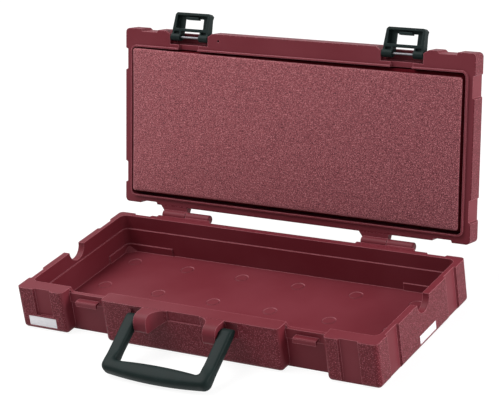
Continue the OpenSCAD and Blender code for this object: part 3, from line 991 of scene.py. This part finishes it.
@dataclass
class FoamPad:
    """The soft pad in the lid: a crowned block with soft edges, pressed to one corner of its well.

    Its foot, deep in the lid, is wider than its face and square to the case. The foot's levels are the
    distances below the face's edge at which the foot's shape starts to show and is whole.
    """

    swing: Swing
    nudge: Vector = field(default_factory=lambda: Vector((-0.5, -1.0, 0)) * MM)
    slant: float = 3.1 * MM
    foot: float = 1.3 * MM
    foot_levels: tuple[float, float] = (2.8 * MM, 5 * MM)
    skin: FoamSkin = field(default_factory=FoamSkin)
    # The side walls wear a darker copy of the foam: painted shade, for walls that stand in the shadow
    # of the gap round the pad.
    side: FoamSkin = field(
        default_factory=lambda: FoamSkin(
            colour=srgb(88, 16, 25),
            shaded=srgb(78, 12, 21),
            pore=srgb(50, 6, 12),
            lit=srgb(104, 26, 35),
            sheen=0.0,
            gloss=0.05,
        )
    )
    corner: float = 2.8 * MM
    corner_least: float = 0.84 * MM
    corner_steps: int = 6
    edge: float = 1.7 * MM
    edge_steps: int = 5
    wall_steps: int = 5
    face_steps: int = 12
    crown: float = 0.8 * MM
    crown_share: float = 0.7
    pull: float = 0.45 * MM
    side_steps: int = 40
    side_slack: float = 0.17 * MM

    def build(self) -> None:
        """Builds the pad in the closed lid and swings it open."""
        low, high = self._closed_box()
        mesh = bmesh.new()
        loops = []

        def ring(inset: float, level: float, foot: float = 0.0) -> None:
            """One loop round the pad at an inset, a level and a share of the foot's shape."""
            points = self._outline(low, high, inset, foot)
            loops.append([mesh.verts.new((x, y, level)) for x, y in points])

        shoulder = low.z + self.crown
        top = shoulder + self.edge
        start, end = self.foot_levels
        base = high.z - top - end
        for step in range(self.wall_steps):
            share = step / self.wall_steps
            ring(self.pull * math.sin(math.pi * share) ** 2, high.z - base * share, 1.0)
        for step in range(self.edge_steps + 1):
            share = step / self.edge_steps
            ring(0.0, top + end + (start - end) * share, 1 - eased(share))
        ring(0.0, top)
        for step in range(1, self.edge_steps + 1):
            angle = step / self.edge_steps * math.pi / 2
            ring(self.edge * (1 - math.cos(angle)), shoulder + self.edge * (1 - math.sin(angle)))
        most = ((high.y - low.y) / 2 - self.edge) * self.crown_share
        for step in range(1, self.face_steps + 1):
            share = step / self.face_steps
            rise = self.crown * (1 - (1 - share) ** 2)
            ring(self.edge + most * share, shoulder - rise)
        close_loft(mesh, loops)
        # Faces of the side walls take the second material, the painted-shade copy.
        side_start = top - self.side_slack
        for face in mesh.faces:
            face.material_index = int(min(v.co.z for v in face.verts) > side_start)
        mesh.transform(self.swing.to_open)
        pad = piece_from("foam_pad", mesh, sharp=60.0)
        wear(pad, self.skin.make("pad_foam"), self.side.make("pad_side_foam"))
        settle(pad, Body.LID, ["lid_foam"])

    def _outline(
        self, low: Vector, high: Vector, inset: float, foot: float
    ) -> list[tuple[float, float]]:
        """Points round the pad, its sides drawn in a little and its front slanting off to one end.

        Args:
            low: Lowest corner of the closed pad.
            high: Highest corner of the closed pad.
            inset: How far inside the pad's sides the loop runs.
            foot: Share of the wider, square foot, 0 at the pad's face and 1 deep in the lid.

        Returns:
            The points, anticlockwise.
        """
        middle = (low + high) / 2 + self.nudge * (1 - foot)
        grown = self.foot * foot - inset
        wide = (high.x - low.x) / 2 + grown
        deep = (high.y - low.y) / 2 + grown
        radius = max(self.corner - inset, self.corner_least)
        square = rounded_outline(2 * wide, 2 * deep, radius, self.corner_steps, self.side_steps)
        points = []
        for x, y in square:
            share = (x / wide + 1) * (1 - y / deep) / 4
            drop = self.slant * share * (1 - foot)
            draw_x = math.copysign(self._drawn(y / deep), x) * abs(x) / wide
            draw_y = math.copysign(self._drawn(x / wide), y) * abs(y) / deep
            points.append((middle.x + x - draw_x, middle.y + y + drop - draw_y))
        return points

    def _drawn(self, share: float) -> float:
        """How far a side is drawn in at a share of its half length from the middle."""
        return self.pull * max(0.0, 1 - share * share)

    def _closed_box(self) -> tuple[Vector, Vector]:
        """Finds the solid pad's box in the shut lid.

        Returns:
            Its lowest and its highest corner.
        """
        back = self.swing.to_closed
        points = [back @ v.co for v in frame["nodes"]["lid_foam"].data.vertices]
        low = Vector([min(point[i] for point in points) for i in range(3)])
        high = Vector([max(point[i] for point in points) for i in range(3)])
        return low, high


@dataclass
class Latch:
    """One snap latch on its pin."""

    side: Side
    plastic: bpy.types.Material
    steel: bpy.types.Material

    def build(self) -> None:
        """Dresses the latch and its pin."""
        dress(f"latch_{self.side.label}", self.plastic)
        dress(f"latch_pin_{self.side.label}", self.steel)


@dataclass
class CarryHandle:
    """One-piece handle: two arms, round corners and a bowed, swelling grip.

    The pivot is the middle of the line that it turns on. The droop is the angle by which it hangs
    below level at rest.
    """

    pivot: Vector
    droop: float
    plastic: bpy.types.Material
    arm_in: float = 46.1 * MM
    arm_out: float = 59.1 * MM
    arm_thick: float = 9.5 * MM
    grip_thick: float = 13.5 * MM
    grip_in: float = 47 * MM
    reach: float = 62.1 * MM
    bow: float = 4 * MM
    swell: float = 2 * MM
    corner_out: float = 6.5 * MM
    corner_in: float = 3.5 * MM
    arm_end: float = 5.75 * MM
    blend: float = 9 * MM
    end_least: float = 0.35
    end_flat: float = 0.83
    peg_radius: float = 3.5 * MM
    peg_reach: float = 7.6 * MM
    peg_root: float = 1 * MM
    peg_bevel: float = 0.4 * MM
    peg_tip: float = 0.88
    peg_sides: int = 24
    squareness: tuple[float, float] = (4.6, 3.2)
    section_sides: int = 28
    end_steps: int = 6
    arm_steps: int = 12
    corner_steps: int = 10
    grip_steps: int = 12

    def build(self) -> None:
        """Lofts rounded sections along the handle and hangs it from its pivot."""
        mesh = bmesh.new()
        close_loft(mesh, [self._section(mesh, outer, inner) for outer, inner in self._stations()])
        for side in Side:
            self._peg(mesh, side)
        droop = Matrix.Rotation(math.radians(self.droop), 4, "X")
        mesh.transform(Matrix.Translation(self.pivot) @ droop)
        made = piece_from("grip_handle", mesh, sharp=50.0)
        wear(made, self.plastic)
        settle(made, Body.HANDLE, ["handle"])

    def _stations(self) -> list[tuple[Vector, Vector]]:
        """Pairs of points on the outer and the inner outline, from one arm end to the other.

        Returns:
            The pairs, seen from above, with the pivot line at y = 0 and the grip towards -y.
        """
        outer_x = self.arm_out - self.corner_out
        inner_x = self.arm_in - self.corner_in
        outer_y = self._bowed(outer_x) + self.corner_out
        inner_y = self.corner_in - self.grip_in
        half = []
        for step in range(self.end_steps + 1):
            y = self.arm_end * (1 - step / self.end_steps) ** 2
            half.append((flat(-self.arm_out, y), flat(-self.arm_in, y)))
        for step in range(1, self.arm_steps + 1):
            share = step / self.arm_steps
            half.append((flat(-self.arm_out, outer_y * share), flat(-self.arm_in, inner_y * share)))
        for step in range(1, self.corner_steps + 1):
            angle = step / self.corner_steps * math.pi / 2
            cosine = math.cos(angle)
            sine = math.sin(angle)
            outer = flat(-outer_x - self.corner_out * cosine, outer_y - self.corner_out * sine)
            inner = flat(-inner_x - self.corner_in * cosine, inner_y - self.corner_in * sine)
            half.append((outer, inner))
        for step in range(1, self.grip_steps + 1):
            share = 1 - step / self.grip_steps
            rise = self.swell * (1 - share**2)
            outer = flat(-outer_x * share, self._bowed(outer_x * share))
            half.append((outer, flat(-inner_x * share, rise - self.grip_in)))
        mirrored = [
            (flat(-outer.x, outer.y), flat(-inner.x, inner.y))
            for outer, inner in reversed(half[:-1])
        ]
        return half + mirrored

    def _bowed(self, x: float) -> float:
        """Place of the grip's bowed outer edge, x from its middle."""
        radius = (self.arm_out**2 + self.bow**2) / (2 * self.bow)
        return -self.reach + radius - math.sqrt(radius**2 - x**2)

    def _grip_share(self, y: float) -> float:
        """How far the section has turned from the arm's to the grip's, 0 to 1."""
        return eased(min(max((-y - self.grip_in + self.blend) / self.blend, 0.0), 1.0))

    def _thickness(self, y: float) -> float:
        """Finds how thick the handle is.

        Args:
            y: Place along the arm, 0 on the pivot line and negative towards the grip.

        Returns:
            Its thickness there.
        """
        if y > 0:
            least = (self.end_least * self.arm_end) ** 2
            return 2 * math.sqrt(max(self.arm_end**2 - y**2, least)) * self.end_flat
        return self.arm_thick + (self.grip_thick - self.arm_thick) * self._grip_share(y)

    def _section(
        self, mesh: bmesh.types.BMesh, outer: Vector, inner: Vector
    ) -> list[bmesh.types.BMVert]:
        """One soft-cornered loop round the handle.

        Args:
            mesh: The mesh to add to.
            outer: Point on the outer outline.
            inner: Point on the inner outline.

        Returns:
            The loop's vertices.
        """
        centre = (outer + inner) / 2
        reach = (outer - inner) / 2
        thick = self._thickness(centre.y)
        arm, grip = self.squareness
        power = 2 / (arm + (grip - arm) * self._grip_share(centre.y))
        loop = []
        for i in range(self.section_sides):
            angle = 2 * math.pi * i / self.section_sides
            across = math.copysign(abs(math.cos(angle)) ** power, math.cos(angle))
            up = math.copysign(abs(math.sin(angle)) ** power, math.sin(angle))
            loop.append(mesh.verts.new(centre + reach * across + Vector((0, 0, thick / 2 * up))))
        return loop

    def _peg(self, mesh: bmesh.types.BMesh, side: Side) -> None:
        """Adds the peg that turns in one ear.

        Args:
            mesh: The mesh to add to.
            side: Which arm it stands on.
        """
        start = side.value * (self.arm_in + self.peg_root)
        end = side.value * (self.arm_in - self.peg_reach)
        bevel = end + side.value * self.peg_bevel
        loops = []
        for x, share in ((start, 1.0), (bevel, 1.0), (end, self.peg_tip)):
            radius = self.peg_radius * share
            ring = []
            for i in range(self.peg_sides):
                angle = side.value * 2 * math.pi * i / self.peg_sides
                ring.append(mesh.verts.new((x, radius * math.cos(angle), radius * math.sin(angle))))
            loops.append(ring)
        close_loft(mesh, loops)


@dataclass(frozen=True)
class Lamp:
    """A soft square lamp: where it hangs, the side of its square and its power in watts."""

    name: str
    place: tuple[float, float, float]
    size: float
    power: float


@dataclass
class Studio:
    """Pale floor, soft lamps and the camera."""

    focal_pixels: float = 1920.0
    picture_width: int = 500
    azimuth: float = 34.04
    elevation: float = 23.3
    roll: float = -7.76
    distance: float = 1.81
    target: Vector = field(default_factory=lambda: Vector((26.3, 0, 122.4)) * MM)
    sensor: float = 36.0
    key: Lamp = Lamp("key", (-1.1, -0.28, 1.9), 1.5, 40.0)
    side: Lamp = Lamp("side", (1.9, 0.5, 0.75), 1.0, 30.0)
    fill: float = 0.28
    floor_reach: float = 30.0
    floor_cells: int = 8
    floor_drop: float = 0.2 * MM
    mottle: float = 200 * MM
    mottle_band: Band = (0.3, 0.7)
    greys: tuple[float, float] = (0.78, 0.8)
    glow: float = 1.2
    glow_share: float = 0.75

    def build(self) -> None:
        """Sets the floor, the world, the lamps and the camera."""
        self._floor()
        self._world()
        self._lamp(self.key)
        self._lamp(self.side)
        self._camera()

    def _floor(self) -> None:
        """A wide pale floor that keeps a soft shadow."""
        mesh = bmesh.new()
        cells = self.floor_cells
        bmesh.ops.create_grid(mesh, x_segments=cells, y_segments=cells, size=self.floor_reach)
        floor = piece_from("floor", mesh)
        floor.location.z = -self.floor_drop
        graph = Graph("floor_paper")
        mottle = graph.noise(self.mottle).ramp(*self.mottle_band)
        dull, pale = ((grey,) * 3 for grey in self.greys)
        matt = graph.node("ShaderNodeBsdfDiffuse", {"Color": graph.blend(mottle, dull, pale)})
        glow = graph.node("ShaderNodeEmission", {"Color": (1, 1, 1), "Strength": self.glow})
        share = graph.seen() * self.glow_share
        graph.close(
            graph.node("ShaderNodeMixShader", {0: share, 1: matt.outputs[0], 2: glow.outputs[0]})
        )
        wear(floor, graph.material)

    def _world(self) -> None:
        """A white surround that lights softly."""
        world = bpy.data.worlds.new("surround")
        world.use_nodes = True
        tree = Tree(world.node_tree, "ShaderNodeOutputWorld")
        strength = tree.seen().ramp(0.0, 1.0, self.fill)
        tree.close(tree.node("ShaderNodeBackground", {"Color": (1, 1, 1), "Strength": strength}))
        bpy.context.scene.world = world

    def _lamp(self, lamp: Lamp) -> None:
        """Hangs one lamp and aims it at the case.

        Args:
            lamp: The lamp.
        """
        data = bpy.data.lights.new(lamp.name, "AREA")
        data.shape = "SQUARE"
        data.size = lamp.size
        data.energy = lamp.power
        made = bpy.data.objects.new(lamp.name, data)
        made.location = lamp.place
        aim = self.target - Vector(lamp.place)
        made.rotation_mode = "QUATERNION"
        made.rotation_quaternion = aim.to_track_quat("-Z", "Y")
        bpy.context.scene.collection.objects.link(made)

    def _camera(self) -> None:
        """Puts the camera where the photograph was taken from."""
        azimuth = math.radians(self.azimuth)
        elevation = math.radians(self.elevation)
        roll = math.radians(self.roll)
        level = math.cos(elevation)
        back = Vector((math.sin(azimuth) * level, -math.cos(azimuth) * level, math.sin(elevation)))
        right = (-back).cross(Vector((0, 0, 1))).normalized()
        up = right.cross(-back)
        rolled_right = right * math.cos(roll) + up * math.sin(roll)
        rolled_up = up * math.cos(roll) - right * math.sin(roll)
        data = bpy.data.cameras.new("camera")
        data.sensor_width = self.sensor
        data.lens = self.focal_pixels / self.picture_width * self.sensor
        camera = bpy.data.objects.new("camera", data)
        turn = Matrix((rolled_right, rolled_up, back)).transposed().to_4x4()
        camera.matrix_world = Matrix.Translation(self.target + back * self.distance) @ turn
        bpy.context.scene.collection.objects.link(camera)
        bpy.context.scene.camera = camera


@dataclass
class ToolCase:
    """The whole case, built sub-assembly by sub-assembly."""

    joints: dict[str, dict]

    def build(self) -> None:
        """Builds and dresses every piece."""
        hinge = self.joints["lid_hinge"]
        swing = Swing(hinge["pos_m"][1], hinge["pos_m"][2], hinge["range_deg"][1])
        dark = DarkPlastic().make("dark_plastic")
        steel = PinSteel().make("pin_steel")
        Tray().build()
        Lid(swing).build()
        FoamPad(swing).build()
        for side in Side:
            Latch(side, dark, steel).build()
            dress(f"hinge_pin_{side.label}", steel)
        turn = self.joints["handle_pivot"]
        # The handle ends its turn upright, so what the turn has over 90 degrees lies below level.
        CarryHandle(Vector(turn["pos_m"]), turn["range_deg"][1] - 90, dark).build()


def main() -> None:
    """Builds the case and the studio."""
    logging.basicConfig(level=logging.INFO, format="%(name)s: %(message)s")
    bpy.context.scene.view_settings.view_transform = "Standard"
    ToolCase({joint["name"]: joint for joint in frame["joints"]}).build()
    Studio().build()


if __name__ == "__main__":
    main()
